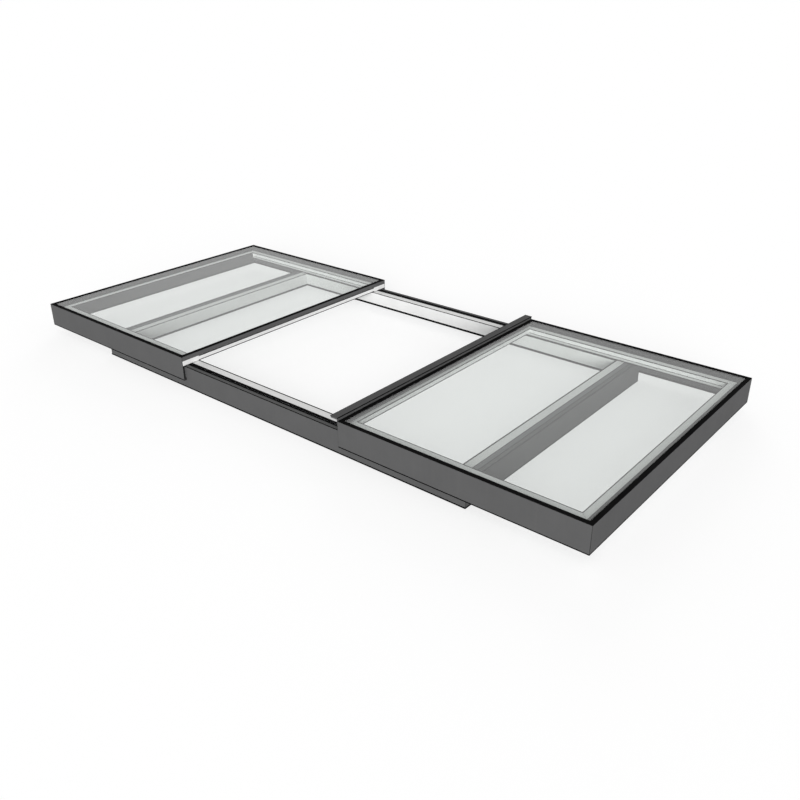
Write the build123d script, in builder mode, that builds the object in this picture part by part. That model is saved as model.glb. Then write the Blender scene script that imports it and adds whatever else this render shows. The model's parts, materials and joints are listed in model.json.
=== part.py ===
# Bi-parting sliding roof light: two glazed lids that run apart on one fixed kerb frame.
# Units are millimetres. X runs along the tracks, -Y is the front, Z is up.
# Z = 0 is the foot of the outer skins, and the frame's middle is at X = 0, Y = 0.
# The lids stand open.

import os
from build123d import *

os.makedirs("parts", exist_ok=True)

# Driving dimensions: fixed frame
FRAME_LENGTH = 3086.0  # outside the outer skins, along X
FRAME_DEPTH = 1952.0  # outside the outer skins, along Y
FRAME_TOP = 154.0  # foot of the skins to the ledge round the opening
CURB_WIDTH = 119.0  # outer skin face to inner liner face
SKIN_LAP = 60.0  # the outer skin hangs this far below the seat
SHEET = 3.0  # folded aluminium sheet of skins, liners and skirts
EXTRUSION_WALL = 4.0  # wall of the track extrusions
BEND_RADIUS = 1.0  # inside of the folds
TOP_FOLD = 28.0  # width of the skin's fold on top of the frame
SLOT_WIDTH = 29.0  # slot in the frame top that the carriages run in
BRUSH_CLEARANCE = 5.0  # from each brush strip in the slot to the carriage plate
BRUSH_HEIGHT = 7.0
BRUSH_PROUD = 1.0  # brushes and end seals stand this far above the ledge
RUNNING_RIB_WIDTH = 8.0  # rail that the wheels run on
RUNNING_RIB_HEIGHT = 12.0
SCREW_RADIUS = 3.5  # holes for the screws into the roof kerb
SCREW_PITCH = 500.0  # along the front and the back
SCREW_COUNT = 6
END_SCREW_PITCH = 600.0
END_SCREW_COUNT = 3

# Driving dimensions: lids
LID_OVERLAP = 24.0  # face of the lids outside the skins, on the sides and, when shut, at the ends
TRAVEL = 680.0  # each lid opens this far
MEETING_GAP = 10.0  # between the leading edges when shut
MEETING_OFFSET = 6.0  # middle of that gap from the middle of the frame
LID_GAP = 6.0  # ledge of the frame to the underside of the lid frames
LID_FRAME_HEIGHT = 33.0
SKIRT_HEIGHT = 160.0  # foot of the skirt to the top of the lid
SKIRT_CLEARANCE = 8.0  # the lip folded in at the skirt's foot stops this short of the skin
BAR_WIDTH = 102.0  # lid frame on the front, the back and the outer end
GLAZING_SEAT = 59.0  # width that carries the glass on those sides
BAR_LIP = 28.0  # foot of the side bars, inwards over the ledge
END_BOX_HEIGHT = 18.0  # stiffening box under the seat of the end bar
STILE_WIDTH = 52.0  # lid frame on the leading edge
STILE_SEAT = 21.0
LID_FLANGE_LIP = 15.0  # turned down behind the skirt
LID_WALL = 3.0  # wall of the lid extrusions
GASKET = 3.0  # glazing gasket under the glass
PANE = 6.0
CAVITY = 14.0
SPACER_WIDTH = 8.0
EDGE_BORDER = 28.0  # black cover of the edge seal, all round the top
EDGE_COVER = 2.0  # its thickness on the skirt and the outer pane
PANE_CLEARANCE = 2.0  # outer pane to the skirt

# Driving dimensions: running gear
WHEEL_HEADROOM = 0.8  # wheel to the fold above it, which stops the lid from tipping
WHEEL_WIDTH = 14.0
WHEEL_GROOVE = 3.0  # depth of the groove that sits on the rib
WHEEL_RUNNING_GAP = 0.2
AXLE_RADIUS = 5.0
AXLE_CLEARANCE = 0.05
AXLE_HEAD_RADIUS = 9.0
AXLE_HEAD = 3.0
HUB_RADIUS = 8.0
HUB_LENGTH = 8.0  # holds the wheel off the plate
CARRIAGE_PLATE = 4.0
CARRIAGE_OVERRUN = 30.0  # plate beyond the wheel centres
CARRIAGE_CLEARANCE = 5.0  # parked carriage to the end seal, and plate to the leading stile
PLATE_CLEARANCE = 2.0  # plate's top under the flange of the lid frame
PLATE_CORNER = 12.0
WINDOW_MARGIN = 105.0  # wheel centre to the windows that lighten the plate
WINDOW_HEIGHT = 24.0
WINDOW_BRIDGE = 40.0
CARRIAGE_BOLTS = 6
BOLT_HEAD_RADIUS = 7.0
BOLT_HEAD = 5.0
CARRIAGE_FOOT = 12.0  # plate's foot above the floor of the track

# Driving dimensions: meeting flap of the right lid
FLAP_OVERHANG = 48.0  # reach of the flap beyond the leading edge
FLAP_HEIGHT = 20.0  # top of the flap above the lid
FLAP_WALL = 3.0
FLAP_LEG = 26.0  # fixed on the leading cap, this far below the lid's top
FLAP_TIP_CLEARANCE = 8.0  # turned-down tip to the lid's top
FLAP_END = 2.0  # plates that close its two ends
WIPER_CLEARANCE = 5.0  # rubber lip under the tip to the left lid's top
WIPER_WIDTH = 6.0
SEAL_CLEARANCE = 5.0  # rubber strip on the right lid's leading face to the left lid, when shut
SEAL_STRIP_HEIGHT = 16.0

# Places worked out from the sizes above
half_length = FRAME_LENGTH / 2
half_depth = FRAME_DEPTH / 2
seat_z = SKIN_LAP
floor_z = seat_z + EXTRUSION_WALL
lid_base_z = FRAME_TOP + LID_GAP
glazing_z = lid_base_z + LID_FRAME_HEIGHT
inner_pane_z = glazing_z + GASKET
cavity_z = inner_pane_z + PANE
outer_pane_z = cavity_z + CAVITY
skirt_top_z = outer_pane_z + PANE
lid_top_z = skirt_top_z + EDGE_COVER
skirt_foot_z = lid_top_z - SKIRT_HEIGHT
lid_half_depth = half_depth + LID_OVERLAP
lid_depth = 2 * lid_half_depth
half_overall = half_length + LID_OVERLAP + TRAVEL
left_lead_x = MEETING_OFFSET - MEETING_GAP / 2 - TRAVEL
right_lead_x = MEETING_OFFSET + MEETING_GAP / 2 + TRAVEL
slot_start = TOP_FOLD
slot_end = TOP_FOLD + SLOT_WIDTH
slot_centre = TOP_FOLD + SLOT_WIDTH / 2
brush_width = (SLOT_WIDTH - CARRIAGE_PLATE) / 2 - BRUSH_CLEARANCE
skirt_lip = LID_OVERLAP - SKIRT_CLEARANCE


def side_planes(x_low, x_high, depth_half):
    """Profile planes of a rectangle's sides: local X points inwards, local Y is up."""
    return {
        "front": Plane(origin=(x_low, -depth_half, 0), x_dir=(0, 1, 0), z_dir=(1, 0, 0)),
        "back": Plane(origin=(x_high, depth_half, 0), x_dir=(0, -1, 0), z_dir=(-1, 0, 0)),
        "left": Plane(origin=(x_low, depth_half, 0), x_dir=(1, 0, 0), z_dir=(0, -1, 0)),
        "right": Plane(origin=(x_high, -depth_half, 0), x_dir=(-1, 0, 0), z_dir=(0, 1, 0)),
    }


def mitred_bar(section, plane, length, mitre_start=True, mitre_end=True):
    """Extrude a section along one side and cut its ends at 45 degrees."""
    with BuildPart() as bar:
        with BuildSketch(plane):
            add(section)
        extrude(amount=length)
        if mitre_start:
            split(bisect_by=Plane(origin=plane.origin, z_dir=plane.z_dir - plane.x_dir))
        if mitre_end:
            far_corner = plane.origin + plane.z_dir * length
            split(bisect_by=Plane(origin=far_corner, z_dir=-plane.z_dir - plane.x_dir))
    return bar.part


def round_fold(section, outer_corner, inner_corner):
    """Give one fold of a sheet section its two radii."""
    fillet(section.vertices().sort_by_distance(outer_corner)[0], radius=BEND_RADIUS + SHEET)
    fillet(section.vertices().sort_by_distance(inner_corner)[0], radius=BEND_RADIUS)


def save(part, name):
    """Label one solid and write its STEP file."""
    part.label = name
    export_step(part, f"parts/{name}.step")


# Sections of the fixed frame, seen along the side, outer face at X = 0
with BuildSketch() as skin_section:
    with BuildLine():
        Polyline(
            (0, 0),
            (0, FRAME_TOP),
            (TOP_FOLD, FRAME_TOP),
            (TOP_FOLD, FRAME_TOP - SHEET),
            (SHEET, FRAME_TOP - SHEET),
            (SHEET, 0),
            close=True,
        )
    make_face()
    round_fold(skin_section, (0, FRAME_TOP), (SHEET, FRAME_TOP - SHEET))

with BuildSketch() as liner_section:
    with BuildLine():
        Polyline(
            (slot_end, FRAME_TOP),
            (CURB_WIDTH, FRAME_TOP),
            (CURB_WIDTH, seat_z),
            (CURB_WIDTH - SHEET, seat_z),
            (CURB_WIDTH - SHEET, FRAME_TOP - SHEET),
            (slot_end, FRAME_TOP - SHEET),
            close=True,
        )
    make_face()
    round_fold(liner_section, (CURB_WIDTH, FRAME_TOP), (CURB_WIDTH - SHEET, FRAME_TOP - SHEET))

core_top = FRAME_TOP - SHEET
fold_z = core_top - EXTRUSION_WALL  # underside of the track's fold
core_width = CURB_WIDTH - 2 * SHEET
with BuildSketch() as core_section:
    with Locations((SHEET, seat_z)):
        Rectangle(core_width, EXTRUSION_WALL, align=(Align.MIN, Align.MIN))
        Rectangle(EXTRUSION_WALL, core_top - seat_z, align=(Align.MIN, Align.MIN))
    with Locations((SHEET, core_top)):
        Rectangle(TOP_FOLD - SHEET, EXTRUSION_WALL, align=(Align.MIN, Align.MAX))
    with Locations((slot_end, seat_z), (CURB_WIDTH - SHEET - EXTRUSION_WALL, seat_z)):
        Rectangle(EXTRUSION_WALL, core_top - seat_z, align=(Align.MIN, Align.MIN))
    core_corners = core_section.vertices().group_by(Axis.Y)[-1].sort_by(Axis.X)
    fillet([core_corners[0], core_corners[-1]], radius=BEND_RADIUS)

rib_centre = slot_centre - CARRIAGE_PLATE / 2 - HUB_LENGTH - WHEEL_WIDTH / 2
with BuildSketch() as track_section:
    add(core_section.sketch)
    with Locations((rib_centre, floor_z)):
        Rectangle(
            RUNNING_RIB_WIDTH,
            RUNNING_RIB_HEIGHT - RUNNING_RIB_WIDTH / 2,
            align=(Align.CENTER, Align.MIN),
        )
    with Locations((rib_centre, floor_z + RUNNING_RIB_HEIGHT - RUNNING_RIB_WIDTH / 2)):
        Circle(RUNNING_RIB_WIDTH / 2)

with BuildSketch() as brush_section:
    with Locations(
        (slot_start + brush_width / 2, FRAME_TOP + BRUSH_PROUD),
        (slot_end - brush_width / 2, FRAME_TOP + BRUSH_PROUD),
    ):
        Rectangle(brush_width, BRUSH_HEIGHT, align=(Align.CENTER, Align.MAX))

with BuildSketch() as end_seal_section:
    with Locations((slot_centre, FRAME_TOP + BRUSH_PROUD)):
        Rectangle(SLOT_WIDTH, BRUSH_HEIGHT, align=(Align.CENTER, Align.MAX))
    fillet(end_seal_section.vertices().group_by(Axis.Y)[-1], radius=BRUSH_PROUD)

# Fixed frame: skins, liners, extrusions and seals on four mitred sides
frame_sides = side_planes(-half_length, half_length, half_depth)
side_lengths = {
    "front": FRAME_LENGTH,
    "back": FRAME_LENGTH,
    "left": FRAME_DEPTH,
    "right": FRAME_DEPTH,
}
screw_line = (slot_end + CURB_WIDTH - SHEET) / 2  # middle of the chamber beside the track

for side, plane in frame_sides.items():
    length = side_lengths[side]
    is_track = side in ("front", "back")
    suffix = side if is_track else side + "_end"
    save(mitred_bar(skin_section.sketch, plane, length), suffix + "_skin")
    save(mitred_bar(liner_section.sketch, plane, length), suffix + "_liner")
    section = track_section if is_track else core_section
    pitch = SCREW_PITCH if is_track else END_SCREW_PITCH
    count = SCREW_COUNT if is_track else END_SCREW_COUNT
    screw_origin = plane.origin + plane.z_dir * length / 2 + plane.x_dir * screw_line
    with BuildPart() as core:
        add(mitred_bar(section.sketch, plane, length))
        with Locations(Plane(origin=screw_origin + (0, 0, floor_z), x_dir=plane.z_dir)):
            with GridLocations(pitch, 1, count, 1):
                Hole(SCREW_RADIUS, depth=EXTRUSION_WALL)
    save(core.part, side + "_track" if is_track else suffix + "_rail")

with BuildPart() as brush_seals:
    for side in ("front", "back"):
        add(mitred_bar(brush_section.sketch, frame_sides[side], FRAME_LENGTH))
save(brush_seals.part, "brush_seals")

with BuildPart() as end_seals:
    for side in ("left", "right"):
        add(mitred_bar(end_seal_section.sketch, frame_sides[side], FRAME_DEPTH))
save(end_seals.part, "end_seals")

# Sections of the lids, seen along the side, lid face at X = 0
with BuildSketch() as skirt_section:
    with BuildLine():
        Polyline(
            (0, skirt_foot_z),
            (0, skirt_top_z),
            (SHEET, skirt_top_z),
            (SHEET, skirt_foot_z + SHEET),
            (skirt_lip, skirt_foot_z + SHEET),
            (skirt_lip, skirt_foot_z),
            close=True,
        )
    make_face()
    round_fold(skirt_section, (0, skirt_foot_z), (SHEET, skirt_foot_z + SHEET))

bar_inner = SHEET + BAR_WIDTH
bar_web = LID_OVERLAP + slot_centre + CARRIAGE_PLATE / 2  # outer wall of the bar's box
seat_inner = SHEET + GLAZING_SEAT
flange_z = glazing_z - LID_WALL
with BuildSketch() as bar_box:
    with Locations((bar_web, lid_base_z)):
        Rectangle(bar_inner - bar_web, LID_FRAME_HEIGHT, align=(Align.MIN, Align.MIN))
    offset(amount=-LID_WALL)
with BuildSketch() as flange_section:
    with Locations((SHEET, flange_z)):
        Rectangle(BAR_WIDTH, LID_WALL, align=(Align.MIN, Align.MIN))
    with Locations((SHEET, glazing_z)):
        Rectangle(LID_WALL, LID_FLANGE_LIP, align=(Align.MIN, Align.MAX))

# The front and back bars have a box that the carriages are bolted to, and a foot over the ledge.
with BuildSketch() as side_bar_section:
    add(flange_section.sketch)
    with Locations((bar_web, lid_base_z)):
        Rectangle(bar_inner - bar_web, LID_FRAME_HEIGHT, align=(Align.MIN, Align.MIN))
        Rectangle(bar_inner - bar_web + BAR_LIP, LID_WALL, align=(Align.MIN, Align.MIN))
    add(bar_box.sketch, mode=Mode.SUBTRACT)

# The end bar only carries the glass: a flange stiffened by a shallow box beside the skirt.
with BuildSketch() as end_box:
    with Locations((SHEET + LID_WALL, flange_z)):
        Rectangle(
            GLAZING_SEAT - 2 * LID_WALL,
            END_BOX_HEIGHT - 2 * LID_WALL,
            align=(Align.MIN, Align.MAX),
        )
with BuildSketch() as end_bar_section:
    add(flange_section.sketch)
    with Locations((SHEET, glazing_z)):
        Rectangle(GLAZING_SEAT, END_BOX_HEIGHT, align=(Align.MIN, Align.MAX))
    add(end_box.sketch, mode=Mode.SUBTRACT)

with BuildSketch() as stile_section:
    with Locations((0, lid_base_z)):
        Rectangle(STILE_WIDTH, LID_FRAME_HEIGHT, align=(Align.MIN, Align.MIN))
    offset(amount=-LID_WALL, mode=Mode.SUBTRACT)

with BuildSketch() as cap_section:
    with Locations((0, glazing_z)):
        Rectangle(SHEET, skirt_top_z - glazing_z, align=(Align.MIN, Align.MIN))

pane_edge = SHEET + PANE_CLEARANCE
with BuildSketch() as cover_section:
    with Locations((0, skirt_top_z)):
        Rectangle(EDGE_BORDER, EDGE_COVER, align=(Align.MIN, Align.MIN))
    with Locations((SHEET, glazing_z)):
        Rectangle(PANE_CLEARANCE, skirt_top_z - glazing_z, align=(Align.MIN, Align.MIN))
    fillet(cover_section.vertices().group_by(Axis.Y)[-1], radius=EDGE_COVER / 2)
with BuildSketch() as side_seal_section:
    add(cover_section.sketch)
    with Locations((SHEET, glazing_z)):
        Rectangle(EDGE_BORDER - SHEET, outer_pane_z - glazing_z, align=(Align.MIN, Align.MIN))
with BuildSketch() as leading_seal_section:
    add(cover_section.sketch)
    with Locations((SHEET, cavity_z)):
        Rectangle(EDGE_BORDER - SHEET, CAVITY, align=(Align.MIN, Align.MIN))

# The flap is drawn on the leading side of the right lid, so it reaches out to negative X.
flap_top_z = lid_top_z + FLAP_HEIGHT
flap_tip_z = lid_top_z + FLAP_TIP_CLEARANCE
flap_under_z = flap_top_z - FLAP_WALL
with BuildSketch() as flap_section:
    with Locations((0, flap_top_z)):
        Rectangle(FLAP_OVERHANG, FLAP_WALL, align=(Align.MAX, Align.MAX))
        Rectangle(FLAP_WALL, FLAP_HEIGHT + FLAP_LEG, align=(Align.MAX, Align.MAX))
    with Locations((-FLAP_OVERHANG, flap_tip_z)):
        Rectangle(FLAP_WALL, flap_top_z - flap_tip_z, align=(Align.MIN, Align.MIN))
with BuildSketch() as flap_end_section:
    with Locations((-FLAP_WALL, flap_tip_z)):
        Rectangle(
            FLAP_OVERHANG - 2 * FLAP_WALL,
            flap_under_z - flap_tip_z,
            align=(Align.MAX, Align.MIN),
        )
with BuildSketch() as meeting_seal_section:
    with Locations((-FLAP_OVERHANG, flap_tip_z)):
        Rectangle(WIPER_WIDTH, FLAP_TIP_CLEARANCE - WIPER_CLEARANCE, align=(Align.MIN, Align.MAX))
    with Locations((0, (lid_base_z + glazing_z) / 2)):
        Rectangle(
            MEETING_GAP - SEAL_CLEARANCE,
            SEAL_STRIP_HEIGHT,
            align=(Align.MAX, Align.CENTER),
        )

# One wheel, turned about the Y axis; it fills the track from the rib to the fold
rib_radius = RUNNING_RIB_WIDTH / 2
rib_top_z = floor_z + RUNNING_RIB_HEIGHT
wheel_radius = (fold_z - WHEEL_HEADROOM - rib_top_z - WHEEL_RUNNING_GAP + WHEEL_GROOVE) / 2
wheel_z = fold_z - WHEEL_HEADROOM - wheel_radius
with BuildPart() as wheel:
    with BuildSketch(Plane.YZ):
        with Locations((0, AXLE_RADIUS + AXLE_CLEARANCE)):
            Rectangle(
                WHEEL_WIDTH,
                wheel_radius - AXLE_RADIUS - AXLE_CLEARANCE,
                align=(Align.CENTER, Align.MIN),
            )
        with Locations((0, wheel_radius - WHEEL_GROOVE + rib_radius + WHEEL_RUNNING_GAP)):
            Circle(rib_radius + WHEEL_RUNNING_GAP, mode=Mode.SUBTRACT)
    revolve(axis=Axis.Y)

# Where the wheels stand: from the parked end of the track to the leading stile
wheel_margin = CARRIAGE_CLEARANCE + CARRIAGE_OVERRUN
first_wheel_x = half_length - slot_end - wheel_margin
last_wheel_x = max(-left_lead_x, right_lead_x) + STILE_WIDTH + wheel_margin
wheel_base = first_wheel_x - last_wheel_x

# One carriage with its two axles, wheels on its -Y side, plate centred on Y = 0
plate_foot_z = floor_z + CARRIAGE_FOOT
plate_top_z = glazing_z - LID_WALL - PLATE_CLEARANCE
plate_length = wheel_base + 2 * CARRIAGE_OVERRUN
window_length = (wheel_base - WINDOW_BRIDGE) / 2 - WINDOW_MARGIN
plate_middle_z = (plate_foot_z + plate_top_z) / 2
hub_face = -CARRIAGE_PLATE / 2
head_face = hub_face - HUB_LENGTH - WHEEL_WIDTH
wheel_y = hub_face - HUB_LENGTH - WHEEL_WIDTH / 2
bolt_z = lid_base_z + LID_FRAME_HEIGHT / 2
bolt_pitch = plate_length / CARRIAGE_BOLTS
wheel_places = ((-wheel_base / 2, wheel_z), (wheel_base / 2, wheel_z))
with BuildPart() as carriage:
    with BuildSketch(Plane.XZ):
        with Locations((0, plate_middle_z)):
            RectangleRounded(plate_length, plate_top_z - plate_foot_z, PLATE_CORNER)
        with Locations((0, wheel_z)):
            with GridLocations(window_length + WINDOW_BRIDGE, 1, 2, 1):
                SlotOverall(window_length, WINDOW_HEIGHT, mode=Mode.SUBTRACT)
    extrude(amount=CARRIAGE_PLATE / 2, both=True)
    with BuildSketch(Plane.XZ.offset(-hub_face)):
        with Locations(*wheel_places):
            Circle(HUB_RADIUS)
    extrude(amount=HUB_LENGTH)
    with BuildSketch(Plane.XZ.offset(-hub_face)):
        with Locations(*wheel_places):
            Circle(AXLE_RADIUS)
    extrude(amount=HUB_LENGTH + WHEEL_WIDTH + AXLE_HEAD)
    with BuildSketch(Plane.XZ.offset(-head_face)):
        with Locations(*wheel_places):
            Circle(AXLE_HEAD_RADIUS)
    extrude(amount=AXLE_HEAD)
    with BuildSketch(Plane.XZ.offset(-hub_face)):
        with Locations((0, bolt_z)):
            with GridLocations(bolt_pitch, 1, CARRIAGE_BOLTS, 1):
                RegularPolygon(BOLT_HEAD_RADIUS, 6)
    extrude(amount=BOLT_HEAD)


def ring(x_low, x_high, insets, band, bottom, height, name):
    """A flat ring inside a lid: insets from the left, the right and both sides, then its band."""
    left, right, sides = insets
    with BuildPart() as flat_ring:
        with BuildSketch(Plane.XY.offset(bottom)):
            with Locations(((x_low + left + x_high - right) / 2, 0)):
                Rectangle(x_high - x_low - left - right, lid_depth - 2 * sides)
            band_left, band_right, band_sides = band
            with Locations(((x_low + left + band_left + x_high - right - band_right) / 2, 0)):
                Rectangle(
                    x_high - x_low - left - right - band_left - band_right,
                    lid_depth - 2 * (sides + band_sides),
                    mode=Mode.SUBTRACT,
                )
        extrude(amount=height)
    save(flat_ring.part, name)


def pane(x_low, x_high, insets, bottom, name):
    """One sheet of glass: insets from the left, the right and both sides."""
    left, right, sides = insets
    with BuildPart() as glass:
        with BuildSketch(Plane.XY.offset(bottom)):
            with Locations(((x_low + left + x_high - right) / 2, 0)):
                Rectangle(x_high - x_low - left - right, lid_depth - 2 * sides)
        extrude(amount=PANE)
    save(glass.part, name)


def glazed_lid(name, x_low, x_high, outer):
    """Build one lid; outer is the side away from the other lid."""
    leading = "right" if outer == "left" else "left"
    length = x_high - x_low
    sides = side_planes(x_low, x_high, lid_half_depth)
    inner_sides = side_planes(x_low, x_high, lid_half_depth - SHEET)
    stile_length = lid_depth - 2 * SHEET
    x_lead = x_high if leading == "right" else x_low
    inwards = -1 if leading == "right" else 1

    # Skirts and side frames meet in mitres at the outer corners and are cut square in front.
    for side in ("front", "back"):
        outer_first = (side == "front") == (outer == "left")
        skirt = mitred_bar(skirt_section.sketch, sides[side], length, outer_first, not outer_first)
        save(skirt, f"{name}_skirt_{side}")
        with BuildPart() as side_bar:
            add(
                mitred_bar(
                    side_bar_section.sketch, sides[side], length, outer_first, not outer_first
                )
            )
            stile_back = (x_lead + inwards * STILE_WIDTH, 0, 0)
            split(bisect_by=Plane(origin=stile_back, z_dir=(inwards, 0, 0)))
        save(side_bar.part, f"{name}_frame_{side}")
    save(mitred_bar(skirt_section.sketch, sides[outer], lid_depth), f"{name}_skirt_end")
    save(mitred_bar(end_bar_section.sketch, sides[outer], lid_depth), f"{name}_frame_end")

    # Leading edge: hollow stile under the glass, and a cap that covers the edge of the glass.
    lead_plane = inner_sides[leading]
    stile = mitred_bar(stile_section.sketch, lead_plane, stile_length, False, False)
    save(stile, f"{name}_leading_stile")
    cap = mitred_bar(cap_section.sketch, lead_plane, stile_length, False, False)
    save(cap, f"{name}_leading_cap")

    # Stepped double glazing: the outer pane covers the edge seal, the inner one lies inside it.
    with BuildPart() as edge_seal:
        for side in ("front", "back", outer):
            side_length = lid_depth if side == outer else length
            add(mitred_bar(side_seal_section.sketch, sides[side], side_length))
        add(mitred_bar(leading_seal_section.sketch, sides[leading], lid_depth))
    save(edge_seal.part, f"{name}_edge_seal")
    outer_insets = (pane_edge, pane_edge, pane_edge)
    left_inset = EDGE_BORDER if outer == "left" else pane_edge
    right_inset = EDGE_BORDER if outer == "right" else pane_edge
    inner_insets = (left_inset, right_inset, EDGE_BORDER)
    pane(x_low, x_high, outer_insets, outer_pane_z, f"{name}_outer_pane")
    pane(x_low, x_high, inner_insets, inner_pane_z, f"{name}_inner_pane")
    spacer_insets = (EDGE_BORDER, EDGE_BORDER, EDGE_BORDER)
    spacer_band = (SPACER_WIDTH, SPACER_WIDTH, SPACER_WIDTH)
    ring(x_low, x_high, spacer_insets, spacer_band, cavity_z, CAVITY, f"{name}_glass_spacer")
    left_edge = seat_inner if outer == "left" else STILE_SEAT
    right_edge = seat_inner if outer == "right" else STILE_SEAT
    gasket_band = (left_edge - left_inset, right_edge - right_inset, seat_inner - EDGE_BORDER)
    ring(x_low, x_high, inner_insets, gasket_band, glazing_z, GASKET, f"{name}_glazing_gasket")

    # Running gear: one carriage in each track, bolted to the box of the side frame.
    x_wheels = inwards * (first_wheel_x + last_wheel_x) / 2
    plate_y = half_depth - slot_centre
    for side, turn in (("front", 0), ("back", 180)):
        y_side = -plate_y if side == "front" else plate_y
        placed = Location((x_wheels, y_side, 0), (0, 0, turn))
        save(placed * carriage.part, f"{name}_carriage_{side}")
    with BuildPart() as wheels:
        for y_sign in (-1, 1):
            for x_sign in (-1, 1):
                x_wheel = x_wheels + x_sign * wheel_base / 2
                with Locations((x_wheel, y_sign * (plate_y - wheel_y), wheel_z)):
                    add(wheel.part)
    save(wheels.part, f"{name}_wheels")


glazed_lid("left_lid", -half_overall, left_lead_x, "left")
glazed_lid("right_lid", right_lead_x, half_overall, "right")

# Meeting flap and its seals on the right lid's leading edge
flap_plane = side_planes(right_lead_x, half_overall, lid_half_depth)["left"]
far_end_plane = flap_plane.offset(lid_depth - FLAP_END)
with BuildPart() as meeting_flap:
    add(mitred_bar(flap_section.sketch, flap_plane, lid_depth, False, False))
    add(mitred_bar(flap_end_section.sketch, flap_plane, FLAP_END, False, False))
    add(mitred_bar(flap_end_section.sketch, far_end_plane, FLAP_END, False, False))
save(meeting_flap.part, "right_lid_meeting_flap")
seal_plane = side_planes(right_lead_x, half_overall, lid_half_depth - SHEET)["left"]
seal_length = lid_depth - 2 * SHEET
meeting_seals = mitred_bar(meeting_seal_section.sketch, seal_plane, seal_length, False, False)
save(meeting_seals, "right_lid_meeting_seals")
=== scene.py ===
# Sliding roof light with two glazed lids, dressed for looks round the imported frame.
# Everything is in metres and stands where the frame says.

import json
import math
import random

import bmesh
import bpy
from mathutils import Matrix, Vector

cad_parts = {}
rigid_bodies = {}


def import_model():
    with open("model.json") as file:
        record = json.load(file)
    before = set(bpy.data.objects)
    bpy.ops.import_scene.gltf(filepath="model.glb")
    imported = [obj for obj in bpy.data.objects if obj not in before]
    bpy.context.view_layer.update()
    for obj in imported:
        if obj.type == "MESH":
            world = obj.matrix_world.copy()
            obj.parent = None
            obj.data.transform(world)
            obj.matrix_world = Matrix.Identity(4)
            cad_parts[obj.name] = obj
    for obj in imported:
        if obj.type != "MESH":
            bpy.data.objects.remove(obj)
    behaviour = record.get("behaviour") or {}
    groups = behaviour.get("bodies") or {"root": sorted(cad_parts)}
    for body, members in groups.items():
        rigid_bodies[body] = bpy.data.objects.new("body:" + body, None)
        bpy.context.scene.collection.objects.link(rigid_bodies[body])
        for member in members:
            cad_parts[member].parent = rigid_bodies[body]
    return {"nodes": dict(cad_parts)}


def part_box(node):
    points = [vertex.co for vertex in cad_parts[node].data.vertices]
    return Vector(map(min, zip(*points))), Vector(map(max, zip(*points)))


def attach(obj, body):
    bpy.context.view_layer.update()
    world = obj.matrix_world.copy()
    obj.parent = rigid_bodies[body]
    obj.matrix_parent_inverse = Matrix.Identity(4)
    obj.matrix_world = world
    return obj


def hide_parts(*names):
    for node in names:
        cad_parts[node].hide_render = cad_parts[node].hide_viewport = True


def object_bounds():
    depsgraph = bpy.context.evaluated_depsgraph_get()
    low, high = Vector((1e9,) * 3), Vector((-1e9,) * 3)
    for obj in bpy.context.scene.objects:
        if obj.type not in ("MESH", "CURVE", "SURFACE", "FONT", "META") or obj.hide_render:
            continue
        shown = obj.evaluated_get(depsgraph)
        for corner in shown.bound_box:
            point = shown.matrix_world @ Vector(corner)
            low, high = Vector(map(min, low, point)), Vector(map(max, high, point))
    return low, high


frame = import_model()
CAD_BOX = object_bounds()

bl_info = {
    "name": "Sliding roof light",
    "version": (1, 0, 0),
    "blender": (4, 5, 0),
    "location": "View3D > Sidebar > Roof light",
    "description": "Paints, glazes and details a sliding roof light and sets its studio",
    "category": "Object",
}

# Bodies that pieces ride on
KERB = "kerb_frame"
LIDS = ("left_lid", "right_lid")

# Front and back, as ways along Y
SIDES = (-1, 1)

# Finishes of new pieces: the material, and the slot in the record
BLACK_RUBBER = ("matt_black_rubber", "black_rubber")
WHITE_PAINT = ("white_coat", "white_paint")
SCREW_STEEL = ("screw_steel", "zinc_steel")
BRUSH_HOLDER = ("brush_holder", "brush")
BRUSH_BRISTLE = ("brush_bristle", "brush")


def colour_prop(name, description, default):
    """A colour that a user may change, as linear red, green and blue."""
    return bpy.props.FloatVectorProperty(
        name=name, description=description, default=default, size=3, min=0, max=1, subtype="COLOR"
    )


def length_prop(name, description, default):
    """A size in metres that a user may change."""
    return bpy.props.FloatProperty(
        name=name, description=description, default=default, min=0, unit="LENGTH", precision=4
    )


def factor_prop(name, description, default, high=1.0):
    """A share or strength that a user may change."""
    return bpy.props.FloatProperty(
        name=name, description=description, default=default, min=0, max=high, subtype="FACTOR"
    )


def bend_prop(name, description, default):
    """An index of refraction that a user may change."""
    return bpy.props.FloatProperty(
        name=name, description=description, default=default, min=1, max=3
    )


def vector_prop(name, description, default, subtype, unit="NONE"):
    """A place, a turn or a direction that a user may change."""
    return bpy.props.FloatVectorProperty(
        name=name, description=description, default=default, size=3, subtype=subtype, unit=unit
    )


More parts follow.
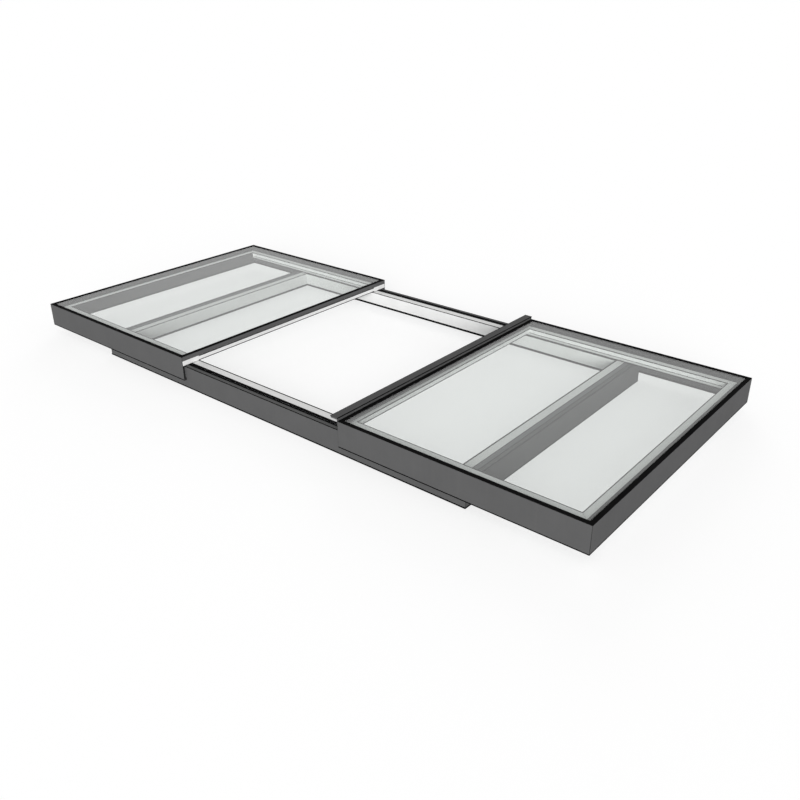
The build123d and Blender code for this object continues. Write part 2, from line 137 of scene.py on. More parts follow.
class RooflightPaint(bpy.types.PropertyGroup):
    """Powder coats of the sheet and the extrusions."""

    dark: colour_prop("Dark paint", "Skins, skirts and caps", (0.115, 0.115, 0.116))
    # Flap paint: the dark paint made darker, a painted shade of the flap's top face
    flap: colour_prop("Flap paint", "Flap over the joint of the lids", (0.094, 0.094, 0.095))
    white: colour_prop("White paint", "Linings and lid frames", (0.87, 0.87, 0.865))
    bare: colour_prop("Metal under the paint", "Shows where an edge is worn", (0.55, 0.56, 0.57))
    # Painted shade: a dark line along every arris and joint; its colour, reach and strengths follow
    seam: colour_prop("Edge line colour", "Line along arrises and joints", (0.02, 0.02, 0.02))
    line: length_prop("Edge line", "Reach of the dark line along arrises and joints", 0.0028)
    dark_edge_shade: factor_prop("Dark edge line", "Its strength on dark paint", 0.9)
    white_edge_shade: factor_prop("White edge line", "Its strength on white paint", 0.6)
    mottle: factor_prop("Mottle", "Light and dark clouds in the coat", 0.05)
    wear: factor_prop("Edge wear", "How much of the edges is rubbed", 0.35)
    wear_reach: length_prop("Wear reach", "How far from an arris the coat is rubbed", 0.0006)
    bareness: factor_prop("Bareness", "How far the metal shows in rubbed spots", 0.5)
    polish: factor_prop("Polish", "How much smoother rubbed spots are", 0.12)
    roughness: factor_prop("Roughness", "Of the cured powder", 0.6)
    peel: length_prop("Orange peel", "Height of the bumps in the cured powder", 0.00005)
    dust: factor_prop("Dust", "Dust on the coats", 0.03)
    dark_bend: bend_prop("Dark bend", "Index of refraction of the dark coat, low where matt", 1.06)
    white_bend: bend_prop("White bend", "Index of refraction of the white coat", 1.2)


class RooflightMetal(bpy.types.PropertyGroup):
    """Metals that aren't painted."""

    aluminium: colour_prop("Mill aluminium", "Tracks and end rails", (0.62, 0.63, 0.64))
    zinc: colour_prop("Zinc-plated steel", "Carriages, bolts and screws", (0.47, 0.48, 0.50))
    rubbed: colour_prop("Rubbed metal", "Shows along rubbed edges", (0.8, 0.8, 0.8))
    wear: factor_prop("Edge wear", "How much of the edges is rubbed", 0.5)
    shine: factor_prop("Shine", "How far the rubbed metal shows there", 0.4)
    grain: factor_prop("Grain", "Light and dark of the drawing lines", 0.35)
    line_height: length_prop("Line height", "Height of the drawing lines", 0.00004)
    dust: factor_prop("Dust", "Dust on the metal", 0.15)


class RooflightRubber(bpy.types.PropertyGroup):
    """Seals, gaskets, brushes and wheels."""

    black: colour_prop("Black rubber", "Seals, gaskets and trims", (0.004, 0.004, 0.0042))
    grey: colour_prop("Grey rubber", "Seals in the end rails", (0.17, 0.17, 0.175))
    bristle: colour_prop("Bristle", "Brush strips in the slots", (0.009, 0.009, 0.0095))
    nylon: colour_prop("Nylon", "Wheels", (0.62, 0.60, 0.54))
    spacer: colour_prop("Spacer", "Bar between the panes", (0.008, 0.008, 0.0085))
    # Spacer hole: the holes are real, the dark inside them is painted shade
    hole_shade: colour_prop("Spacer hole", "Inside of its breathing holes", (0.002, 0.002, 0.002))
    pore_depth: length_prop("Pore depth", "Depth of the fine pores", 0.00006)
    dust: factor_prop("Dust", "Dust on rubber and plastic", 0.01)
    bend: bend_prop("Bend", "Index of refraction of the rubbers, low where matt", 1.04)


class RooflightGlass(bpy.types.PropertyGroup):
    """Double glazing."""

    tint: colour_prop("Tint", "What one pane lets through", (0.905, 0.918, 0.911))
    film: colour_prop("Film", "Colour of the dust on the outer pane", (0.62, 0.62, 0.6))
    dust: factor_prop("Dust", "Amount of dust on the outer pane", 0.03)
    haze: factor_prop("Haze", "Share of the light that the outer pane scatters", 0.1)
    bend: bend_prop("Bend", "Index of refraction of the thin panes", 1.02)
    mirror: bend_prop("Mirror", "Index of refraction of the outer face", 1.27)


class RooflightSizes(bpy.types.PropertyGroup):
    """Sizes of the small details."""

    sheet_edge: length_prop("Sheet edge radius", "Rounding of folded sheet", 0.0008)
    bar_edge: length_prop("Bar edge radius", "Rounding of extrusions", 0.0012)
    rubber_edge: length_prop("Rubber edge radius", "Rounding of seals", 0.001)
    glass_edge: length_prop("Glass edge", "Polished arris of the panes", 0.0008)
    gasket_edge: length_prop("Gasket edge radius", "Rounding of the gaskets and edge seals", 0.0003)
    carriage_edge: length_prop("Carriage edge radius", "Rounding of the carriages", 0.0005)
    hole_step: length_prop("Hole step", "Half the distance between the spacer's holes", 0.003)
    hole_row: length_prop("Hole row", "Each row of holes, from the spacer's middle", 0.004)
    brush_holder: length_prop("Brush holder", "Bar that holds the bristles", 0.003)
    bristle_pitch: length_prop("Bristle pitch", "Between bristles of one row", 0.0011)
    bristle_root: length_prop("Bristle root", "Width of a bristle where it starts", 0.001)
    bristle_stray: length_prop("Bristle stray", "How far a tip may stray", 0.0012)
    bristle_stop: length_prop("Bristle stop", "Tips to the middle of the slot", 0.0026)
    foot_lip: length_prop("Foot lip", "White lip on the foot of the side bars, inwards", 0.010)
    skirt_strip: length_prop("Skirt strip", "Black strip under the foot of the skirts", 0.0045)
    skirt_leg: length_prop("Skirt leg", "Its leg up past the folded lip", 0.007)
    skirt_leg_wide: length_prop("Skirt leg width", "Thickness of that leg", 0.0015)
    skin_bead: length_prop("Skin bead", "Black beads on the skins, outwards", 0.0015)
    skin_bead_height: length_prop("Skin bead height", "Height of the one at their foot", 0.0085)
    foot_trim: length_prop("Foot trim", "Trim at the foot of the linings, inwards", 0.004)
    foot_trim_height: length_prop("Foot trim height", "The same, upwards", 0.008)
    foot_trim_drop: length_prop("Foot trim drop", "The same, hanging below the foot", 0.007)
    edge_trim: length_prop("Edge trim", "Flat trim on the top edge of the linings", 0.0075)
    slot_trim: length_prop("Slot trim", "Flat trims along both sides of the slot", 0.004)
    flat_trim: length_prop("Flat trim height", "Thickness of these flat trims", 0.0008)
    arris_bead: length_prop("Arris bead", "Height of the one at their top edge", 0.005)
    cap_strip: length_prop("Cap strip", "Height of the strip under the caps", 0.005)
    flap_lip: length_prop("Flap lip", "Rubber lip on the free edge of the flap, outwards", 0.004)
    flap_bead: length_prop("Flap bead", "Bead behind the flap's fold, outwards", 0.002)
    flap_trim_height: length_prop("Flap trim height", "Height of the lip and the bead", 0.0055)
    flap_trim_sink: length_prop("Flap trim sink", "Their top below the top of the flap", 0.0003)
    trim: length_prop("Trim", "Width of the trims and strips of the lid frames", 0.002)
    trim_lap: length_prop("Trim lap", "How far they lap over the plate; size of their bead", 0.003)
    trim_rise: length_prop("Trim rise", "How far they stand above the plate", 0.0015)
    trim_drop: length_prop("Trim drop", "How far they hang down; thickness of the foot lips", 0.003)
    strip_height: length_prop("Strip height", "Strips along the foot of the stiles", 0.005)
    trim_edge: length_prop("Trim edge radius", "Rounding of the trims", 0.0004)
    screw_radius: length_prop("Screw radius", "Heads of the flap's screws", 0.0042)
    screw_head: length_prop("Screw head", "Height of the heads", 0.0019)
    screw_pitch: length_prop("Screw pitch", "Between the flap's screws", 0.28)


class RooflightStage(bpy.types.PropertyGroup):
    """Floor, light and camera."""

    camera_place: vector_prop(
        "Camera place", "Where it stands", (3.5821, -3.9416, 2.4071), "TRANSLATION", "LENGTH"
    )
    camera_turn: vector_prop(
        "Camera turn",
        "How it is turned",
        tuple(math.radians(angle) for angle in (63.4428, 0.1384, 39.649)),
        "EULER",
        "ROTATION",
    )
    lens: bpy.props.FloatProperty(
        name="Lens", description="Focal length", default=38.23, min=1, unit="CAMERA"
    )
    ambient: factor_prop("Ambient", "Strength of the even light", 0.44, high=2.0)
    key: factor_prop("Key", "Strength of the soft lamp, as the white that it gives", 0.92, high=3.0)
    key_from: vector_prop("Key from", "Where that lamp is", (0.565, -0.775, 0.26), "DIRECTION")
    fill: factor_prop("Fill", "Strength of the lamp behind, as that white", 0.3, high=3.0)
    fill_from: vector_prop("Fill from", "Where that lamp is", (-0.565, 0.775, 0.2), "DIRECTION")
    lamp_size: bpy.props.FloatProperty(
        name="Lamp size",
        description="Angle that each soft lamp fills",
        default=math.radians(30),
        min=0,
        max=math.pi,
        unit="ROTATION",
    )
    floor: colour_prop("Floor", "Plain pale floor", (0.42, 0.42, 0.42))
    floor_size: length_prop("Floor size", "Side of the floor", 400.0)


GROUPS = {
    "rooflight_paint": RooflightPaint,
    "rooflight_metal": RooflightMetal,
    "rooflight_rubber": RooflightRubber,
    "rooflight_glass": RooflightGlass,
    "rooflight_sizes": RooflightSizes,
    "rooflight_stage": RooflightStage,
}


class Graph:
    """Adds nodes to one tree and joins them up."""

    def __init__(self, tree):
        self.tree = tree

    def feed(self, socket, value):
        """Link a socket into another one, or set its own value."""
        if isinstance(value, bpy.types.NodeSocket):
            self.tree.links.new(value, socket)
        elif socket.type == "RGBA" and len(value) == 3:
            socket.default_value = (*value, 1)
        else:
            socket.default_value = value

    def add(self, kind, inputs=None, **settings):
        """One node, with its settings and its inputs by name or number."""
        node = self.tree.nodes.new(kind)
        for key, value in settings.items():
            setattr(node, key, value)
        for key, value in (inputs or {}).items():
            self.feed(node.inputs[key], value)
        return node

    def math(self, operation, *values, clamp=False):
        """One sum with plain numbers."""
        inputs = dict(enumerate(values))
        return self.add("ShaderNodeMath", inputs, operation=operation, use_clamp=clamp).outputs[0]

    def noise(self, vector, scale, detail=2.0, roughness=0.5):
        """Clouds that swing round 0.5; scale is how many there are to a metre or other unit."""
        inputs = {"Vector": vector, "Scale": scale, "Detail": detail, "Roughness": roughness}
        return self.add("ShaderNodeTexNoise", inputs).outputs["Fac"]

    def swing(self, noise, depth):
        """Turn a noise into a factor that swings round 1."""
        return self.math("MULTIPLY_ADD", self.math("SUBTRACT", noise, 0.5), depth, 1.0)

    def spread(self, value, low, high, to_low=0.0, to_high=1.0):
        """Map a value from one span to another, held at its ends."""
        inputs = {0: value, 1: low, 2: high, 3: to_low, 4: to_high}
        return self.add("ShaderNodeMapRange", inputs).outputs[0]

    def stretch(self, vector, scale):
        """Scale a place along each axis."""
        inputs = {"Vector": vector, "Scale": scale}
        return self.add("ShaderNodeMapping", inputs).outputs[0]

    def mix(self, factor, first, second, blend="MIX"):
        """Mix two colours; their sockets go by number, as their names aren't their own."""
        inputs = {0: factor, 6: first, 7: second}
        return self.add("ShaderNodeMix", inputs, data_type="RGBA", blend_type=blend).outputs[2]

    def place(self):
        """Where a point is on its own piece, in metres."""
        return self.add("ShaderNodeTexCoord").outputs["Object"]

    def normal(self):
        """The way that a face looks."""
        return self.add("ShaderNodeNewGeometry").outputs["Normal"]

    def upness(self):
        """1 where a face looks up, 0 where it stands."""
        split = self.add("ShaderNodeSeparateXYZ", {0: self.normal()})
        return self.math("MAXIMUM", split.outputs["Z"], 0.0)

    def group(self, name, inputs):
        """One of the effects below, with its own values."""
        node = self.add("ShaderNodeGroup", node_tree=bpy.data.node_groups[name])
        for key, value in inputs.items():
            self.feed(node.inputs[key], value)
        return node.outputs


def clean_graph(owner):
    """The emptied node tree of a material or a world."""
    owner.use_nodes = True
    owner.node_tree.nodes.clear()
    return Graph(owner.node_tree)


def effect(name, inputs, outputs):
    """A new shader node group; returns its graph, its inputs and its output node."""
    tree = bpy.data.node_groups.new(name, "ShaderNodeTree")
    for label, kind, default in inputs:
        socket = tree.interface.new_socket(label, in_out="INPUT", socket_type=kind)
        if kind == "NodeSocketColor":
            socket.default_value = (*default, 1)
        else:
            socket.default_value = default
    for label, kind in outputs:
        tree.interface.new_socket(label, in_out="OUTPUT", socket_type=kind)
    graph = Graph(tree)
    return graph, graph.add("NodeGroupInput").outputs, graph.add("NodeGroupOutput").inputs


COLOUR, VALUE, VECTOR = "NodeSocketColor", "NodeSocketFloat", "NodeSocketVector"

# How much stronger the clouds in a coat are than its Mottle
CLOUD_CONTRAST = 4.0

BEVEL_SAMPLES = 4

# Cosine of the turn from a face to its rounded arris, where a mask begins and where it is full
AT_FACE, AT_ARRIS = 0.999, 0.95


def make_powder_coat():
    """Orange peel of cured powder, faint clouds in its colour and a slow change of sheen."""
    graph, given, out = effect(
        "powder_coat",
        [
            ("Colour", COLOUR, (0.5, 0.5, 0.5)),
            ("Mottle", VALUE, 0.05),
            ("Roughness", VALUE, 0.5),
        ],
        [("Colour", COLOUR), ("Roughness", VALUE), ("Height", VALUE)],
    )
    place = graph.place()
    peel = graph.noise(place, scale=420.0, detail=2.0, roughness=0.55)
    grit = graph.noise(place, scale=2600.0, detail=1.0)
    clouds = graph.noise(place, scale=5.0, detail=4.0, roughness=0.6)
    tone = graph.swing(clouds, graph.math("MULTIPLY", given["Mottle"], CLOUD_CONTRAST))
    speck = graph.spread(grit, low=0.3, high=0.7, to_low=0.97, to_high=1.03)
    shade = graph.math("MULTIPLY", tone, speck)
    graph.feed(out["Colour"], graph.mix(1.0, given["Colour"], shade, "MULTIPLY"))
    slow = graph.noise(place, scale=14.0, detail=3.0)
    sheen = graph.spread(slow, low=0.3, high=0.7, to_low=-0.06, to_high=0.06)
    graph.feed(out["Roughness"], graph.math("ADD", given["Roughness"], sheen, clamp=True))
    grit_share = 0.25
    graph.feed(out["Height"], graph.math("MULTIPLY_ADD", grit, grit_share, peel))


def make_edge_wear_and_shade():
    """Mask of the arrises, broken up so that only parts of them are kept: rubbed wear, and at full
    Amount the painted shade line.
    """
    graph, given, out = effect(
        "worn_edge",
        [("Reach", VALUE, 0.0025), ("Amount", VALUE, 0.4)],
        [("Mask", VALUE)],
    )
    bevel = graph.add("ShaderNodeBevel", {"Radius": given["Reach"]}, samples=BEVEL_SAMPLES)
    turn = graph.add(
        "ShaderNodeVectorMath", {0: bevel.outputs[0], 1: graph.normal()}, operation="DOT_PRODUCT"
    )
    near = graph.spread(turn.outputs["Value"], AT_FACE, AT_ARRIS)
    patches = graph.noise(graph.place(), scale=9.0, detail=5.0, roughness=0.7)
    # The wear fades in from 0.8 of this level to 0.1 above it
    level = graph.math("SUBTRACT", 1.0, given["Amount"])
    low, high = graph.math("MULTIPLY", level, 0.8), graph.math("ADD", level, 0.1)
    kept = graph.spread(patches, low, high)
    graph.feed(out["Mask"], graph.math("MULTIPLY", near, kept, clamp=True))


def make_settled_dust():
    """Dust on what looks up, and faint runs down what stands."""
    graph, given, out = effect(
        "settled_dust",
        [
            ("Colour", COLOUR, (0.5, 0.5, 0.5)),
            ("Dust", COLOUR, (0.42, 0.40, 0.37)),
            ("Amount", VALUE, 0.1),
        ],
        [("Colour", COLOUR)],
    )
    place = graph.place()
    up = graph.upness()
    drift = graph.noise(place, scale=3.0, detail=6.0, roughness=0.65)
    lying = graph.math("MULTIPLY", up, graph.spread(drift, low=0.35, high=0.75))
    runs_a_metre = (38.0, 38.0, 1.6)
    runs = graph.noise(graph.stretch(place, runs_a_metre), scale=1.0, detail=3.0, roughness=0.6)
    runs = graph.spread(runs, low=0.52, high=0.78, to_low=0.0, to_high=0.5)
    standing = graph.math("MULTIPLY", graph.math("SUBTRACT", 1.0, up), runs)
    mask = graph.math("ADD", lying, standing, clamp=True)
    mask = graph.math("MULTIPLY", mask, given["Amount"], clamp=True)
    graph.feed(out["Colour"], graph.mix(mask, given["Colour"], given["Dust"]))


def make_drawn_metal():
    """Fine lines along the way a bar was drawn or a plate was rolled."""
    graph, given, out = effect(
        "drawn_metal",
        [
            ("Colour", COLOUR, (0.6, 0.6, 0.6)),
            ("Stretch", VECTOR, (4.0, 900.0, 900.0)),
            ("Roughness", VALUE, 0.35),
            ("Depth", VALUE, 0.4),
        ],
        [("Colour", COLOUR), ("Roughness", VALUE), ("Height", VALUE)],
    )
    place = graph.place()
    drawn = graph.stretch(place, given["Stretch"])
    lines = graph.noise(drawn, scale=1.0, detail=4.0, roughness=0.6)
    stain = graph.noise(place, scale=11.0, detail=5.0, roughness=0.62)
    light = graph.spread(stain, low=0.3, high=0.7, to_low=0.9, to_high=1.06)
    tone = graph.math("MULTIPLY", graph.swing(lines, given["Depth"]), light)
    graph.feed(out["Colour"], graph.mix(1.0, given["Colour"], tone, "MULTIPLY"))
    sheen = graph.spread(stain, low=0.3, high=0.7, to_low=0.1, to_high=-0.05)
    graph.feed(out["Roughness"], graph.math("ADD", given["Roughness"], sheen))
    graph.feed(out["Height"], lines)


def make_moulded_skin():
    """Fine pores, bloom and rubbed patches of rubber and plastic."""
    graph, given, out = effect(
        "moulded_skin",
        [
            ("Colour", COLOUR, (0.02, 0.02, 0.02)),
            ("Bloom", VALUE, 0.03),
            ("Roughness", VALUE, 0.6),
        ],
        [("Colour", COLOUR), ("Roughness", VALUE), ("Height", VALUE)],
    )
    place = graph.place()
    pale = (0.5, 0.5, 0.5)
    pores = graph.noise(place, scale=1500.0, detail=2.0)
    patches = graph.noise(place, scale=22.0, detail=5.0, roughness=0.65)
    bloom = graph.math("MULTIPLY", graph.spread(patches, low=0.4, high=0.75), given["Bloom"])
    graph.feed(out["Colour"], graph.mix(bloom, given["Colour"], pale))
    sheen = graph.spread(patches, low=0.3, high=0.7, to_low=-0.1, to_high=0.1)
    graph.feed(out["Roughness"], graph.math("ADD", given["Roughness"], sheen))
    graph.feed(out["Height"], pores)


def material(name):
    """An empty material; returns its graph, its Principled shader and its output."""
    made = bpy.data.materials.new(name)
    if made.name != name:
        raise RuntimeError(f"There is already a material named {name}")
    graph = clean_graph(made)
    shader = graph.add("ShaderNodeBsdfPrincipled")
    output = graph.add("ShaderNodeOutputMaterial", {"Surface": shader.outputs[0]})
    return graph, shader, output


def dress(graph, shader, colour, roughness, height, distance, strength):
    """Feed a shader its colour, its roughness and its bump."""
    graph.feed(shader.inputs["Base Color"], colour)
    graph.feed(shader.inputs["Roughness"], roughness)
    bump = {"Height": height, "Distance": distance, "Strength": strength}
    graph.feed(shader.inputs["Normal"], graph.add("ShaderNodeBump", bump).outputs[0])


def make_paint(name, colour, bend, line):
    """Powder-coated metal with a painted shade line along its arrises and joints, worn spots on them
    and dust.
    """
    paint = bpy.context.scene.rooflight_paint
    graph, shader, _ = material(name)
    coat = graph.group(
        "powder_coat",
        {"Colour": tuple(colour), "Mottle": paint.mottle, "Roughness": paint.roughness},
    )
    # Painted shade: a dark line along every arris and joint, over the coat
    seam = graph.group("worn_edge", {"Reach": paint.line, "Amount": 1.0})["Mask"]
    lined = graph.mix(graph.math("MULTIPLY", seam, line), coat["Colour"], tuple(paint.seam))
    worn = graph.group("worn_edge", {"Reach": paint.wear_reach, "Amount": paint.wear})["Mask"]
    shade = graph.mix(graph.math("MULTIPLY", worn, paint.bareness), lined, tuple(paint.bare))
    dusty = graph.group("settled_dust", {"Colour": shade, "Amount": paint.dust})["Colour"]
    rough = graph.math("MULTIPLY_ADD", worn, -paint.polish, coat["Roughness"])
    dress(graph, shader, dusty, rough, coat["Height"], paint.peel, strength=0.3)
    shader.inputs["IOR"].default_value = bend


def make_bare_metal(name, colour, roughness, lines_a_metre):
    """Unpainted metal with drawing lines."""
    metal = bpy.context.scene.rooflight_metal
    graph, shader, _ = material(name)
    skin = graph.group(
        "drawn_metal",
        {
            "Colour": tuple(colour),
            "Stretch": lines_a_metre,
            "Roughness": roughness,
            "Depth": metal.grain,
        },
    )
    worn = graph.group("worn_edge", {"Amount": metal.wear})["Mask"]
    shine = graph.math("MULTIPLY", worn, metal.shine)
    shade = graph.mix(shine, skin["Colour"], tuple(metal.rubbed))
    dusty = graph.group("settled_dust", {"Colour": shade, "Amount": metal.dust})["Colour"]
    dress(graph, shader, dusty, skin["Roughness"], skin["Height"], metal.line_height, strength=0.5)
    shader.inputs["Metallic"].default_value = 1.0


def make_moulding(name, colour, bloom, roughness):
    """Rubber or plastic; returns its graph, its shader and the colour that it is fed."""
    rubber = bpy.context.scene.rooflight_rubber
    graph, shader, _ = material(name)
    skin = graph.group(
        "moulded_skin", {"Colour": tuple(colour), "Bloom": bloom, "Roughness": roughness}
    )
    dust = {"Colour": skin["Colour"], "Amount": rubber.dust}
    dusty = graph.group("settled_dust", dust)["Colour"]
    dress(graph, shader, dusty, skin["Roughness"], skin["Height"], rubber.pore_depth, strength=0.6)
    shader.inputs["IOR"].default_value = rubber.bend
    return graph, shader, dusty


# Radius, squared, at the rim of a spacer's hole and where the painted shade inside it is full
HOLE_RIM, HOLE_DARK = 0.0000006, 0.0000002


def make_spacer(name):
    """Spacer bar with its rows of breathing holes, whose dark insides are painted shade."""
    rubber, sizes = bpy.context.scene.rooflight_rubber, bpy.context.scene.rooflight_sizes
    graph, shader, colour = make_moulding(name, rubber.spacer, bloom=0.05, roughness=0.45)
    split = graph.add("ShaderNodeSeparateXYZ", {0: graph.place()})
    along = graph.math("ADD", split.outputs["X"], split.outputs["Y"])
    step = graph.math("PINGPONG", along, sizes.hole_step)
    spacer = Corners(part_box("left_lid_glass_spacer"))
    height = graph.math("SUBTRACT", split.outputs["Z"], (spacer.z_low + spacer.z_high) / 2)
    row = graph.math("SUBTRACT", graph.math("ABSOLUTE", height), sizes.hole_row)
    reach = graph.math("ADD", graph.math("POWER", step, 2.0), graph.math("POWER", row, 2.0))
    # Real holes, with the shade inside them painted dark
    hole_shade = graph.spread(reach, HOLE_RIM, HOLE_DARK)
    graph.feed(shader.inputs["Base Color"], graph.mix(hole_shade, colour, tuple(rubber.hole_shade)))


def make_glass(name, dust, coat, haze):
    """One pane. Light for shadows and for what is lit passes straight through, tinted."""
    glass = bpy.context.scene.rooflight_glass
    graph, shader, output = material(name)
    inside = graph.add("ShaderNodeNewGeometry").outputs["Backfacing"]
    outside = graph.math("SUBTRACT", 1.0, inside)
    graph.feed(shader.inputs["Coat Weight"], graph.math("MULTIPLY", outside, coat))
    shader.inputs["Coat IOR"].default_value = glass.mirror
    shader.inputs["Coat Roughness"].default_value = 0.0
    film = {"Colour": tuple(glass.tint), "Dust": tuple(glass.film), "Amount": dust}
    graph.feed(shader.inputs["Base Color"], graph.group("settled_dust", film)["Colour"])
    smear = graph.noise(graph.place(), scale=7.0, detail=4.0, roughness=0.6)
    smear = graph.spread(smear, low=0.45, high=0.8, to_low=0.0, to_high=0.012)
    graph.feed(shader.inputs["Roughness"], smear)
    shader.inputs["Transmission Weight"].default_value = 1.0 - haze
    shader.inputs["IOR"].default_value = glass.bend
    # A ray crosses both faces of a pane, so each face has the root of its tint
    face = tuple(math.sqrt(c) for c in glass.tint)
    clear = graph.add("ShaderNodeBsdfTransparent", {"Color": face})
    path = graph.add("ShaderNodeLightPath").outputs
    passing = graph.math("MAXIMUM", path["Is Shadow Ray"], path["Is Diffuse Ray"])
    both = graph.add("ShaderNodeMixShader", {0: passing, 1: shader.outputs[0], 2: clear.outputs[0]})
    graph.feed(output.inputs["Surface"], both.outputs[0])


# Points nearer than this are joined, and edges that turn by more than this are rounded
MERGE_REACH = 0.00001
SHARP_ANGLE = math.radians(30)


def smooth_edges(piece, radius, steps=2):
    """Join a piece's faces and round its sharp edges, by modifiers only."""
    weld = piece.modifiers.new("joined", "WELD")
    weld.merge_threshold = MERGE_REACH
    bevel = piece.modifiers.new("arris", "BEVEL")
    bevel.width = radius
    bevel.segments = steps
    bevel.limit_method = "ANGLE"
    bevel.angle_limit = SHARP_ANGLE
    bevel.use_clamp_overlap = True
    bevel.harden_normals = True


def finish_nodes(names, material_name, radius=0.0, steps=2):
    """Give CAD nodes their finish and, with a radius, their rounded arrises."""
    for name in names:
        node = frame["nodes"][name]
        for slot in node.material_slots:
            slot.material = bpy.data.materials[material_name]
        if radius:
            smooth_edges(node, radius, steps)


def add_piece(name, mesh_data, finish, body, radius=0.0):
    """Put a new mesh in the scene, on its body, with its finish and its rounded arrises."""
    material_name, slot_name = finish
    piece = bpy.data.objects.new(name, mesh_data)
    bpy.context.scene.collection.objects.link(piece)
    mesh_data.materials.append(bpy.data.materials[material_name])
    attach(piece, body)
    if radius:
        smooth_edges(piece, radius)
    return piece


def mesh_from(name, mesh):
    """Turn a bmesh into mesh data, with its faces looking outwards."""
    bmesh.ops.recalc_face_normals(mesh, faces=mesh.faces)
    made = bpy.data.meshes.new(name)
    mesh.to_mesh(made)
    mesh.free()
    return made


class Corners:
    """The lowest and highest x, y and z of a box."""

    def __init__(self, box):
        low, high = box
        self.x_low, self.y_low, self.z_low = low
        self.x_high, self.y_high, self.z_high = high

    def x_towards(self, way):
        """Its end along X on one side, -1 or +1."""
        return self.x_high if way > 0 else self.x_low


def rectangle(a_low, a_high, b_low, b_high):
    """The corners of a rectangle, with its inside on the left of the way round."""
    return [(a_low, b_low), (a_high, b_low), (a_high, b_high), (a_low, b_high)]


def ring(x_low, x_high, y_low, y_high):
    """A level path round a rectangle, back to where it starts, with the inside on its left."""
    return rectangle(x_low, x_high, y_low, y_high) + [(x_low, y_low)]


def along_x(span, y, way):
    """A level path along X with its left side towards way, +1 or -1 in Y."""
    low, high = sorted(span)
    return [(low, y), (high, y)] if way > 0 else [(high, y), (low, y)]


def along_y(x, span, way):
    """A level path along Y with its left side towards way, +1 or -1 in X."""
    low, high = sorted(span)
    return [(x, high), (x, low)] if way > 0 else [(x, low), (x, high)]


def hook(lap, rise, wide, top, bottom):
    """Section of a trim that laps over an edge from above and hangs down its side."""
    high = top + rise
    return [(-lap, top), (-lap, high), (wide, high), (wide, bottom), (0, bottom), (0, top)]


def mitre_ways(path, closed):
    """For each corner of a level path, where one metre to its left leads."""
    ways = []
    for i, corner in enumerate(path):
        steps = []
        if closed or i > 0:
            steps.append((path[i - 1], corner))
        if closed or i < len(path) - 1:
            steps.append((corner, path[(i + 1) % len(path)]))
        runs = [(Vector(end) - Vector(start)).normalized() for start, end in steps]
        lefts = [Vector((-run.y, run.x)) for run in runs]
        ways.append((lefts[0] + lefts[-1]) / (1 + lefts[0].dot(lefts[-1])))
    return ways


def bridge(mesh, rings, closed=False):
    """Skin a row of like rings; it closes on itself, or else has a face at each end."""
    followers = rings[1:] + rings[:1] if closed else rings[1:]
    for first, second in zip(rings, followers):
        for j in range(len(first)):
            k = (j + 1) % len(first)
            mesh.faces.new((first[j], first[k], second[k], second[j]))
    if not closed:
        mesh.faces.new(rings[0])
        mesh.faces.new(rings[-1])


def run_bar(mesh, path, section):
    """Run a section, as points left of the path and up, along a level path with mitres.

    A path that ends where it starts makes a closed frame.
    """
    closed = path[0] == path[-1]
    corners = path[:-1] if closed else path
    rings = []
    for corner, way in zip(corners, mitre_ways(corners, closed)):
        points = [(corner[0] + way.x * s, corner[1] + way.y * s, z) for s, z in section]
        rings.append([mesh.verts.new(point) for point in points])
    bridge(mesh, rings, closed)


def add_bars(name, bars, finish, body, radius=0.0):
    """One piece made of bars, each given by its path and its section."""
    mesh = bmesh.new()
    for path, section in bars:
        run_bar(mesh, path, section)
    add_piece(name, mesh_from(name, mesh), finish, body, radius)


class ROOFLIGHT_OT_finishes(bpy.types.Operator):
    """Make the node groups and the materials"""

    bl_idname = "rooflight.finishes"
    bl_label = "Finishes"

    def execute(self, context):
        for make in (
            make_powder_coat,
            make_edge_wear_and_shade,
            make_settled_dust,
            make_drawn_metal,
            make_moulded_skin,
        ):
            make()
        scene = context.scene
        paint, metal = scene.rooflight_paint, scene.rooflight_metal
        rubber, glass = scene.rooflight_rubber, scene.rooflight_glass
        # Each coat with its colour, its bend and the strength of its painted shade line
        for name, colour, bend, line in (
            ("dark_coat", paint.dark, paint.dark_bend, paint.dark_edge_shade),
            # The flap's coat is the dark coat darkened, a painted shade of its top face
            ("flap_coat", paint.flap, paint.dark_bend, paint.dark_edge_shade),
            ("white_coat", paint.white, paint.white_bend, paint.white_edge_shade),
        ):
            make_paint(name, colour, bend, line)
        for name, colour, roughness, lines_a_metre in (
            ("aluminium_along", metal.aluminium, 0.38, (4.0, 900.0, 900.0)),
            ("aluminium_across", metal.aluminium, 0.38, (900.0, 4.0, 900.0)),
            ("zinc_plated_steel", metal.zinc, 0.42, (12.0, 700.0, 700.0)),
            ("screw_steel", metal.zinc, 0.3, (300.0, 300.0, 300.0)),
        ):
            make_bare_metal(name, colour, roughness, lines_a_metre)
        for name, colour, bloom, roughness in (
            ("matt_black_rubber", rubber.black, 0.004, 0.7),
            ("matt_grey_rubber", rubber.grey, 0.03, 0.65),
            ("brush_holder", rubber.black, 0.01, 0.6),
            ("brush_bristle", rubber.bristle, 0.02, 0.5),
            ("turned_nylon", rubber.nylon, 0.05, 0.4),
        ):
            make_moulding(name, colour, bloom, roughness)
        make_spacer("spacer_bar")
        make_glass("outer_glass", glass.dust, coat=1.0, haze=glass.haze)
        make_glass("inner_glass", dust=0.0, coat=0.0, haze=0.0)
        return {"FINISHED"}


